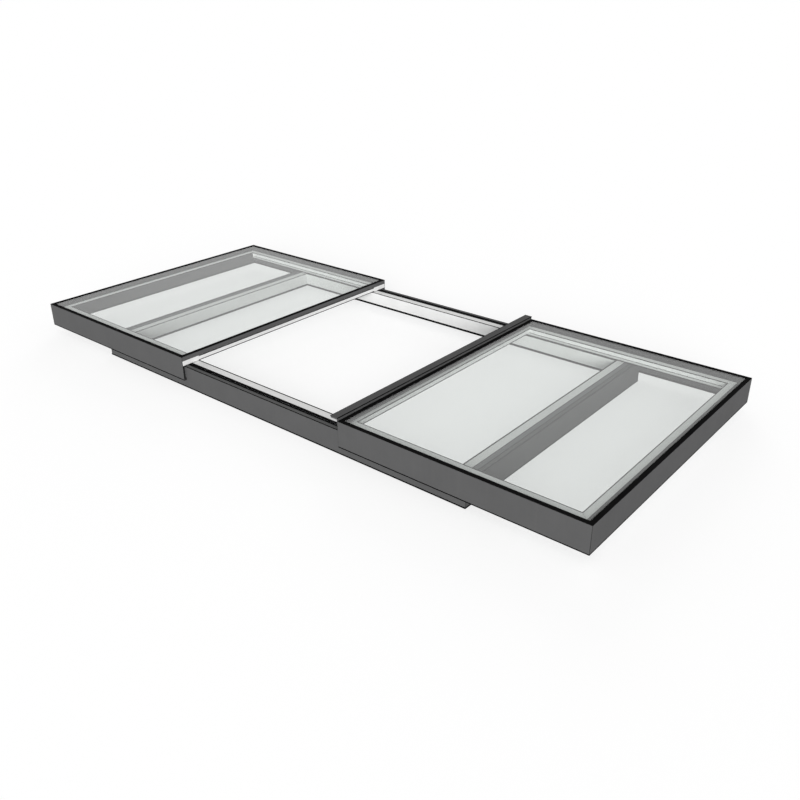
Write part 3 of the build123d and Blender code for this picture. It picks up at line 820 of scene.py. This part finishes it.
class ROOFLIGHT_OT_kerb(bpy.types.Operator):
    """Finish the fixed kerb frame: skins, linings, tracks, end rails and end seals"""

    bl_idname = "rooflight.kerb"
    bl_label = "Kerb frame"

    def execute(self, context):
        sizes = context.scene.rooflight_sizes
        sides = ("front", "back", "left_end", "right_end")
        finish_nodes([s + "_skin" for s in sides], "dark_coat", sizes.sheet_edge)
        finish_nodes([s + "_liner" for s in sides], "white_coat", sizes.sheet_edge)
        finish_nodes(["front_track", "back_track"], "aluminium_along", sizes.sheet_edge)
        finish_nodes(["left_end_rail", "right_end_rail"], "aluminium_across", sizes.sheet_edge)
        finish_nodes(["end_seals"], "matt_grey_rubber", sizes.rubber_edge)
        return {"FINISHED"}


def kerb_rings():
    """Level rings round the opening, round the linings and round the skins."""
    left, right = Corners(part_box("left_end_liner")), Corners(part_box("right_end_liner"))
    front, back = Corners(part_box("front_liner")), Corners(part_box("back_liner"))
    opening = ring(left.x_high, right.x_low, front.y_high, back.y_low)
    linings = ring(left.x_low, right.x_high, front.y_low, back.y_high)
    left_skin, right_skin = Corners(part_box("left_end_skin")), Corners(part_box("right_end_skin"))
    skins = ring(left_skin.x_low, right_skin.x_high, left_skin.y_low, right_skin.y_high)
    return opening, linings, skins


class ROOFLIGHT_OT_foot_trim(bpy.types.Operator):
    """Put black trims at the foot of the linings and at the foot of the skins"""

    bl_idname = "rooflight.foot_trim"
    bl_label = "Foot trims"

    def execute(self, context):
        sizes = context.scene.rooflight_sizes
        opening, _, skins = kerb_rings()
        foot = Corners(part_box("front_liner")).z_low
        wide, top = sizes.foot_trim, foot + sizes.foot_trim_height
        low = foot - sizes.foot_trim_drop
        trim = [(0, low), (wide, low), (wide, top - wide), (0, top)]
        add_bars("lining_foot_trim", [(opening, trim)], BLACK_RUBBER, KERB, sizes.rubber_edge)
        floor_z = Corners(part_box("left_end_skin")).z_low
        bead = rectangle(-sizes.skin_bead, 0, floor_z, floor_z + sizes.skin_bead_height)
        add_bars("skin_foot_bead", [(skins, bead)], BLACK_RUBBER, KERB, sizes.trim_edge)
        return {"FINISHED"}


class ROOFLIGHT_OT_kerb_trims(bpy.types.Operator):
    """Put black trims on the top of the kerb: round the opening, beside the slot and outside"""

    bl_idname = "rooflight.kerb_trims"
    bl_label = "Kerb trims"

    def execute(self, context):
        sizes = context.scene.rooflight_sizes
        opening, linings, skins = kerb_rings()
        slot = Corners(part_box("brush_seals"))
        slot_outside = ring(slot.x_low, slot.x_high, slot.y_low, slot.y_high)
        top = Corners(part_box("front_liner")).z_high
        flat, wide = sizes.flat_trim, sizes.slot_trim
        trims = [
            (opening, hook(sizes.edge_trim, flat, flat, top, top - flat)),
            (linings, rectangle(0, wide, top, top + flat)),
            (slot_outside, rectangle(-wide, 0, top, top + flat)),
            (skins, rectangle(-sizes.skin_bead, 0, top - sizes.arris_bead, top)),
        ]
        add_bars("kerb_top_trims", trims, BLACK_RUBBER, KERB)
        return {"FINISHED"}


# Heights of the two layers of bristles in a row, as shares of the holder's height
BRISTLE_LAYERS = (0.3, 0.7)

# Start of the random strays, so that each run gives the same ones
BRISTLE_SEED = 7


class ROOFLIGHT_OT_brushes(bpy.types.Operator):
    """Put bristles in the place of the plain brush strips"""

    bl_idname = "rooflight.brushes"
    bl_label = "Brush strips"

    def rows(self, depth):
        """Each row: the wall it stands on, its way in Y, and the X where a bar so deep ends."""
        slot, inner_y = Corners(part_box("brush_seals")), Corners(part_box("back_liner")).y_high
        for side in SIDES:
            yield side * slot.y_high, -side, slot.x_high - depth
            yield side * inner_y, side, slot.x_high - (slot.y_high - inner_y)

    def bristles(self, sizes, low, high, tip):
        """Points and faces of all bristles, each a long pyramid on three points."""
        chance = random.Random(BRISTLE_SEED)
        points, faces = [], []
        pitch, half = sizes.bristle_pitch, sizes.bristle_root / 2
        for wall_y, way, x_end in self.rows(tip):
            root_y, tip_y = wall_y + way * sizes.brush_holder, wall_y + way * tip
            for layer, share in enumerate(BRISTLE_LAYERS):
                z = low + (high - low) * share
                # The first layer starts half a pitch in, the second one half a pitch further
                first_x = (0.5 + 0.5 * layer) * pitch - x_end
                for i in range(int(2 * x_end / pitch)):
                    x = first_x + i * pitch
                    stray = [chance.uniform(-1, 1) * sizes.bristle_stray for _ in range(3)]
                    a, b, c, end = range(len(points), len(points) + 4)
                    points.append((x - half, root_y, z - half))
                    points.append((x + half, root_y, z - half))
                    points.append((x, root_y, z + half))
                    points.append((x + stray[0], tip_y - way * abs(stray[1]), z + stray[2] / 2))
                    faces += [(a, b, c), (a, end, b), (b, end, c), (c, end, a)]
        return points, faces

    def execute(self, context):
        sizes = context.scene.rooflight_sizes
        seals = Corners(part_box("brush_seals"))
        low, high = seals.z_low, seals.z_high
        slot_wide = seals.y_high - Corners(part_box("back_liner")).y_high
        held = sizes.brush_holder
        section = rectangle(0, held, low, high)
        bars = [
            (along_x((-x_end, x_end), wall_y, way), section)
            for wall_y, way, x_end in self.rows(held)
        ]
        add_bars("brush_holders", bars, BRUSH_HOLDER, KERB, sizes.trim_edge)
        points, faces = self.bristles(sizes, low, high, slot_wide / 2 - sizes.bristle_stop)
        mesh = bpy.data.meshes.new("brush_bristles")
        mesh.from_pydata(points, [], faces)
        bristles = add_piece("brush_bristles", mesh, BRUSH_BRISTLE, KERB)
        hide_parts("brush_seals")
        return {"FINISHED"}


class ROOFLIGHT_OT_lid_metal(bpy.types.Operator):
    """Finish the skirts, the frames, the stiles and the caps of both lids"""

    bl_idname = "rooflight.lid_metal"
    bl_label = "Lid metal"

    def execute(self, context):
        sizes = context.scene.rooflight_sizes
        for lid in LIDS:
            sides = ("front", "back", "end")
            finish_nodes([f"{lid}_skirt_{s}" for s in sides], "dark_coat")
            finish_nodes([f"{lid}_frame_{s}" for s in sides], "white_coat", sizes.bar_edge)
            finish_nodes([f"{lid}_leading_stile"], "white_coat", sizes.bar_edge)
            finish_nodes([f"{lid}_leading_cap"], "dark_coat", sizes.sheet_edge)
        return {"FINISHED"}


class Lid:
    """Edges of one lid that its trims follow; outer is the way along X to its outer end."""

    def __init__(self, name):
        self.name = name
        self.outer = -1 if name == "left_lid" else 1
        end, stile = Corners(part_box(f"{name}_frame_end")), Corners(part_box(f"{name}_leading_stile"))
        bar, skirt = Corners(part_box(f"{name}_frame_front")), Corners(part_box(f"{name}_skirt_end"))
        self.end_x = end.x_towards(-self.outer)
        self.lead_x = stile.x_towards(self.outer)
        self.front_x = stile.x_towards(-self.outer)
        self.face_x = skirt.x_towards(self.outer)
        self.seat_y = skirt.y_high - abs(self.end_x - self.face_x)
        self.foot_y = -bar.y_high
        self.corner_x = self.end_x - self.outer * (self.seat_y - self.foot_y)
        self.seat_z, self.base_z = bar.z_high, bar.z_low
        self.cap_z = Corners(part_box(f"{name}_leading_cap")).z_low


class ROOFLIGHT_OT_foot_lips(bpy.types.Operator):
    """Put white lips on the feet of the side bars of the lid frames"""

    bl_idname = "rooflight.foot_lips"
    bl_label = "Foot lips"

    def execute(self, context):
        sizes = context.scene.rooflight_sizes
        reach = sizes.foot_lip
        for lid in map(Lid, LIDS):
            section = rectangle(0, reach, lid.base_z, lid.base_z + sizes.trim_drop)
            span = (lid.corner_x - lid.outer * reach, lid.lead_x)
            bars = [(along_x(span, side * lid.foot_y, -side), section) for side in SIDES]
            add_bars(f"{lid.name}_foot_lips", bars, WHITE_PAINT, lid.name, sizes.trim_edge)
        return {"FINISHED"}


class ROOFLIGHT_OT_skirt_strips(bpy.types.Operator):
    """Put black strips under the skirts, with a leg up past their folded lip"""

    bl_idname = "rooflight.skirt_strips"
    bl_label = "Skirt strips"

    def execute(self, context):
        sizes = context.scene.rooflight_sizes
        for lid in map(Lid, LIDS):
            skirt = Corners(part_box(f"{lid.name}_skirt_front"))
            foot, lip = skirt.z_low, skirt.y_high - skirt.y_low
            low, high = foot - sizes.skirt_strip, foot + sizes.skirt_leg
            inner = lip + sizes.skirt_leg_wide
            section = [(0, low), (inner, low), (inner, high), (lip, high), (lip, foot), (0, foot)]
            open_x, y = skirt.x_towards(-lid.outer), -skirt.y_low
            path = [(open_x, y), (lid.face_x, y), (lid.face_x, -y), (open_x, -y)]
            if lid.outer > 0:
                path.reverse()
            name = f"{lid.name}_skirt_strip"
            add_bars(name, [(path, section)], BLACK_RUBBER, lid.name, sizes.trim_edge)
        return {"FINISHED"}


class ROOFLIGHT_OT_lid_trims(bpy.types.Operator):
    """Put black trims and beads on the inner edges of the lid frames and strips on the stiles"""

    bl_idname = "rooflight.lid_trims"
    bl_label = "Lid trims"

    def execute(self, context):
        sizes = context.scene.rooflight_sizes
        lap, rise, wide = sizes.trim_lap, sizes.trim_rise, sizes.trim
        for lid in map(Lid, LIDS):
            seat = ring(*sorted((lid.end_x, lid.lead_x)), -lid.seat_y, lid.seat_y)
            bars = [(seat, hook(lap, rise, wide, lid.seat_z, lid.seat_z - sizes.trim_drop))]
            foot_z = lid.base_z + sizes.trim_drop
            foot_trim = hook(lap, rise, wide, foot_z, lid.base_z)
            bead = [(0, foot_z), (lap, foot_z), (0, foot_z + lap)]
            lip_span = (lid.corner_x - lid.outer * sizes.foot_lip, lid.lead_x)
            lip_y = lid.foot_y - sizes.foot_lip
            for side in SIDES:
                bars.append((along_x(lip_span, side * lip_y, -side), foot_trim))
                bead_path = along_x((lid.corner_x, lid.lead_x), side * lid.seat_y, -side)
                bars.append((bead_path, bead))
            strip = rectangle(0, wide, lid.base_z, lid.base_z + sizes.strip_height)
            cap_strip = rectangle(0, wide, lid.cap_z - sizes.cap_strip, lid.cap_z)
            stile_span = (-lid.foot_y, lid.foot_y)
            behind = along_y(lid.lead_x, stile_span, lid.outer)
            ahead = along_y(lid.front_x, stile_span, -lid.outer)
            bars += [(behind, strip), (ahead, strip), (ahead, cap_strip)]
            add_bars(f"{lid.name}_frame_trims", bars, BLACK_RUBBER, lid.name, sizes.trim_edge)
        return {"FINISHED"}


class ROOFLIGHT_OT_glazing(bpy.types.Operator):
    """Finish the panes, the spacers, the gaskets and the edge seals"""

    bl_idname = "rooflight.glazing"
    bl_label = "Double glazing"

    def execute(self, context):
        sizes = context.scene.rooflight_sizes
        for lid in LIDS:
            finish_nodes([f"{lid}_outer_pane"], "outer_glass", sizes.glass_edge, 1)
            finish_nodes([f"{lid}_inner_pane"], "inner_glass", sizes.glass_edge, 1)
            finish_nodes([f"{lid}_glass_spacer"], "spacer_bar", sizes.rubber_edge)
            seals = [f"{lid}_edge_seal", f"{lid}_glazing_gasket"]
            finish_nodes(seals, "matt_black_rubber", sizes.gasket_edge, 1)
        return {"FINISHED"}


class ROOFLIGHT_OT_running_gear(bpy.types.Operator):
    """Finish the carriages and their wheels"""

    bl_idname = "rooflight.running_gear"
    bl_label = "Running gear"

    def execute(self, context):
        sizes = context.scene.rooflight_sizes
        for lid in LIDS:
            carriages = [f"{lid}_carriage_front", f"{lid}_carriage_back"]
            finish_nodes(carriages, "zinc_plated_steel", sizes.carriage_edge)
            finish_nodes([f"{lid}_wheels"], "turned_nylon", sizes.bar_edge)
        return {"FINISHED"}


class ROOFLIGHT_OT_meeting(bpy.types.Operator):
    """Finish the flap and the seals where the lids meet"""

    bl_idname = "rooflight.meeting"
    bl_label = "Meeting flap"

    def execute(self, context):
        sizes = context.scene.rooflight_sizes
        # The flap gets the darkened dark coat, a painted shade of its top face
        finish_nodes(["right_lid_meeting_flap"], "flap_coat", sizes.bar_edge)
        finish_nodes(["right_lid_meeting_seals"], "matt_black_rubber", sizes.rubber_edge)
        return {"FINISHED"}


# Button head of a screw from its rim inwards: shares of its radius and of its height
HEAD_PROFILE = ((1.0, 0.0), (0.97, 0.3), (0.86, 0.6), (0.68, 0.85), (0.5, 0.97))
HEAD_SIDES = 24

# Hexagonal socket in the head: its reach and its floor, as shares of the same
SOCKET_REACH, SOCKET_FLOOR = 0.4, 0.3


def hexagon_reach(angle):
    """How far a hexagon reaches at an angle, as a share of the reach of its corners."""
    sector = math.pi / 3
    return math.cos(sector / 2) / math.cos(angle % sector - sector / 2)


def add_screw(mesh, place, radius, height):
    """A button head that looks towards -X, with a hexagonal socket."""
    angles = [i * math.tau / HEAD_SIDES for i in range(HEAD_SIDES)]
    shapes = [([radius * wide] * HEAD_SIDES, height * out) for wide, out in HEAD_PROFILE]
    socket = [radius * SOCKET_REACH * hexagon_reach(a) for a in angles]
    shapes += [(socket, height), (socket, height * SOCKET_FLOOR)]
    rings = []
    for reaches, out in shapes:
        points = [
            (place[0] - out, place[1] + reach * math.cos(a), place[2] + reach * math.sin(a))
            for reach, a in zip(reaches, angles)
        ]
        rings.append([mesh.verts.new(point) for point in points])
    bridge(mesh, rings)


class ROOFLIGHT_OT_flap_screws(bpy.types.Operator):
    """Fix the flap to the right lid with a row of screws"""

    bl_idname = "rooflight.flap_screws"
    bl_label = "Flap screws"

    def execute(self, context):
        sizes = context.scene.rooflight_sizes
        cap = Corners(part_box("right_lid_leading_cap"))
        flap = Corners(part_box("right_lid_meeting_flap"))
        # The flap's leg is as thick as the cap that it stands against
        leg_x = cap.x_low - (cap.x_high - cap.x_low)
        screw_z = (flap.z_low + cap.z_high) / 2
        count = int((flap.y_high - flap.y_low) / sizes.screw_pitch)
        mesh = bmesh.new()
        for i in range(count):
            y = (i - (count - 1) / 2) * sizes.screw_pitch
            add_screw(mesh, (leg_x, y, screw_z), sizes.screw_radius, sizes.screw_head)
        add_piece("flap_screws", mesh_from("flap_screws", mesh), SCREW_STEEL, "right_lid")
        return {"FINISHED"}


class ROOFLIGHT_OT_flap_trims(bpy.types.Operator):
    """Put a rubber lip on the free edge of the flap and a bead behind its fold"""

    bl_idname = "rooflight.flap_trims"
    bl_label = "Flap trims"

    def execute(self, context):
        sizes = context.scene.rooflight_sizes
        flap = Corners(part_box("right_lid_meeting_flap"))
        high = flap.z_high - sizes.flap_trim_sink
        low, span = high - sizes.flap_trim_height, (flap.y_low, flap.y_high)
        bars = [
            (along_y(flap.x_low, span, -1), rectangle(0, sizes.flap_lip, low, high)),
            (along_y(flap.x_high, span, 1), rectangle(0, sizes.flap_bead, low, high)),
        ]
        add_bars("flap_edge_trims", bars, BLACK_RUBBER, "right_lid", sizes.trim_edge)
        return {"FINISHED"}


def is_seen(graph):
    """1 for the rays that show the background: straight, mirrored or through glass."""
    path = graph.add("ShaderNodeLightPath").outputs
    seen = graph.math("MAXIMUM", path["Is Camera Ray"], path["Is Glossy Ray"])
    return graph.math("MAXIMUM", seen, path["Is Transmission Ray"])


def make_world(stage):
    """Even light from all round, which shows as plain white."""
    world = bpy.data.worlds.new("studio")
    graph = clean_graph(world)
    strength = graph.spread(is_seen(graph), 0.0, 1.0, stage.ambient, 1.0)
    back = graph.add("ShaderNodeBackground", {"Color": (1, 1, 1, 1), "Strength": strength})
    graph.add("ShaderNodeOutputWorld", {"Surface": back.outputs[0]})
    return world


def make_floor(stage, lamps):
    """Pale floor that shows as plain white wherever nothing shades it."""
    sheet = bmesh.new()
    bmesh.ops.create_grid(sheet, x_segments=1, y_segments=1, size=stage.floor_size / 2)
    floor_mesh = bpy.data.meshes.new("floor")
    sheet.to_mesh(floor_mesh)
    sheet.free()
    made = bpy.data.materials.new("pale_floor")
    graph = clean_graph(made)
    matt = graph.add("ShaderNodeBsdfDiffuse", {"Color": tuple(stage.floor)})
    # The floor glows by what its lit colour lacks of white
    light = stage.ambient + sum(strength * way.z for _, strength, way in lamps)
    missing = 1.0 - stage.floor[0] * light
    glow_strength = graph.math("MULTIPLY", is_seen(graph), missing)
    glow = graph.add("ShaderNodeEmission", {"Strength": glow_strength})
    both = graph.add("ShaderNodeAddShader", {0: matt.outputs[0], 1: glow.outputs[0]})
    graph.add("ShaderNodeOutputMaterial", {"Surface": both.outputs[0]})
    floor_mesh.materials.append(made)
    floor = bpy.data.objects.new("floor", floor_mesh)
    floor.location.z = CAD_BOX[0][2]
    return floor


def make_lamp(name, strength, way, angle):
    """Soft lamp far away that neither mirrors nor glass show."""
    lamp = bpy.data.lights.new(name, "SUN")
    lamp.energy = strength * math.pi
    lamp.angle = angle
    sun = bpy.data.objects.new(name, lamp)
    sun.rotation_euler = way.to_track_quat("Z", "Y").to_euler()
    sun.visible_glossy = False
    sun.visible_transmission = False
    return sun


def make_camera(stage):
    """Camera above the front right corner."""
    eye = bpy.data.cameras.new("camera")
    eye.lens = stage.lens
    eye.clip_end = stage.floor_size
    camera = bpy.data.objects.new("camera", eye)
    camera.location = stage.camera_place
    camera.rotation_euler = stage.camera_turn
    return camera


class ROOFLIGHT_OT_stage(bpy.types.Operator):
    """Set the plain pale floor, the soft light and the camera"""

    bl_idname = "rooflight.stage"
    bl_label = "Stage"

    def execute(self, context):
        scene = context.scene
        stage = scene.rooflight_stage
        placed = scene.collection.objects
        scene.view_settings.view_transform = "Standard"
        lamps = (
            ("soft_key", stage.key, Vector(stage.key_from).normalized()),
            ("soft_fill", stage.fill, Vector(stage.fill_from).normalized()),
        )
        scene.world = make_world(stage)
        floor = make_floor(stage, lamps)
        placed.link(floor)
        for name, strength, way in lamps:
            placed.link(make_lamp(name, strength, way, stage.lamp_size))
        camera = make_camera(stage)
        placed.link(camera)
        scene.camera = camera
        return {"FINISHED"}


class ROOFLIGHT_PT_panel(bpy.types.Panel):
    """Steps and settings of the roof light"""

    bl_idname = "ROOFLIGHT_PT_panel"
    bl_label = "Sliding roof light"
    bl_space_type = "VIEW_3D"
    bl_region_type = "UI"
    bl_category = "Roof light"

    def draw(self, context):
        layout = self.layout
        for step in STEPS:
            layout.operator(step.bl_idname)
        for key in GROUPS:
            box = layout.box()
            settings = getattr(context.scene, key)
            box.label(text=settings.bl_rna.description)
            for name in type(settings).__annotations__:
                box.prop(settings, name)


STEPS = (
    ROOFLIGHT_OT_finishes,
    ROOFLIGHT_OT_kerb,
    ROOFLIGHT_OT_foot_trim,
    ROOFLIGHT_OT_kerb_trims,
    ROOFLIGHT_OT_brushes,
    ROOFLIGHT_OT_lid_metal,
    ROOFLIGHT_OT_foot_lips,
    ROOFLIGHT_OT_skirt_strips,
    ROOFLIGHT_OT_lid_trims,
    ROOFLIGHT_OT_glazing,
    ROOFLIGHT_OT_running_gear,
    ROOFLIGHT_OT_meeting,
    ROOFLIGHT_OT_flap_screws,
    ROOFLIGHT_OT_flap_trims,
    ROOFLIGHT_OT_stage,
)


def register():
    for group in GROUPS.values():
        bpy.utils.register_class(group)
    for key, group in GROUPS.items():
        setattr(bpy.types.Scene, key, bpy.props.PointerProperty(type=group))
    for step in STEPS:
        bpy.utils.register_class(step)
    bpy.utils.register_class(ROOFLIGHT_PT_panel)


def unregister():
    bpy.utils.unregister_class(ROOFLIGHT_PT_panel)
    for step in reversed(STEPS):
        bpy.utils.unregister_class(step)
    for key in GROUPS:
        delattr(bpy.types.Scene, key)
    for group in GROUPS.values():
        bpy.utils.unregister_class(group)


def main():
    register()
    for step in STEPS:
        category, operator = step.bl_idname.split(".")
        if getattr(getattr(bpy.ops, category), operator)() != {"FINISHED"}:
            raise RuntimeError(f"{step.bl_label} did not finish")


if __name__ == "__main__":
    main()
